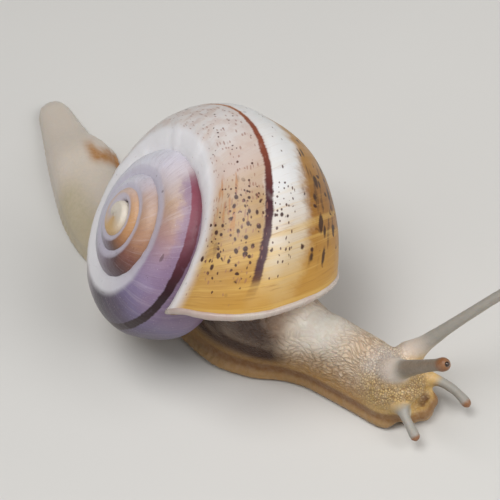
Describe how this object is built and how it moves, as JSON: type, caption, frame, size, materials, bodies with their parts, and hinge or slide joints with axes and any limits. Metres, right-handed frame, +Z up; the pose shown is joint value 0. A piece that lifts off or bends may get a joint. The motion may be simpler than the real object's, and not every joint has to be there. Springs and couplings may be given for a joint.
{
  "type": "banded land snail",
  "caption": "Life-size museum model of a banded, white-lipped land snail crawling with its feelers out, resting on its flat sole",
  "frame": {"origin": "on the flat sole of the foot, under the shell", "axes": "+X the way the neck points and the body's length, +Y the animal's left, +Z up"},
  "size_m": [0.0508, 0.0181, 0.0157],
  "materials": {
    "skin": "moist, finely wrinkled flesh",
    "feeler": "moist, smooth flesh",
    "eye": "glossy",
    "mantle": "moist flesh",
    "spire": "satin shell",
    "shell": "satin shell with fine growth lines",
    "lip": "glossy porcelain white"
  },
  "bodies": {
    "root": {"tail": "skin", "foot_rear": "skin", "trunk": "skin", "neck": "skin", "head": "skin", "mouth_lobe_left": "skin", "mouth_lobe_right": "skin", "feeler_upper_left": "feeler", "feeler_upper_right": "feeler", "feeler_lower_left": "feeler", "feeler_lower_right": "feeler", "eye_left": "eye", "eye_right": "eye", "mantle_collar": "mantle", "shell_spire": "spire", "shell_last_whorl": "shell", "shell_lip": "lip"}
  },
  "joints": []
}
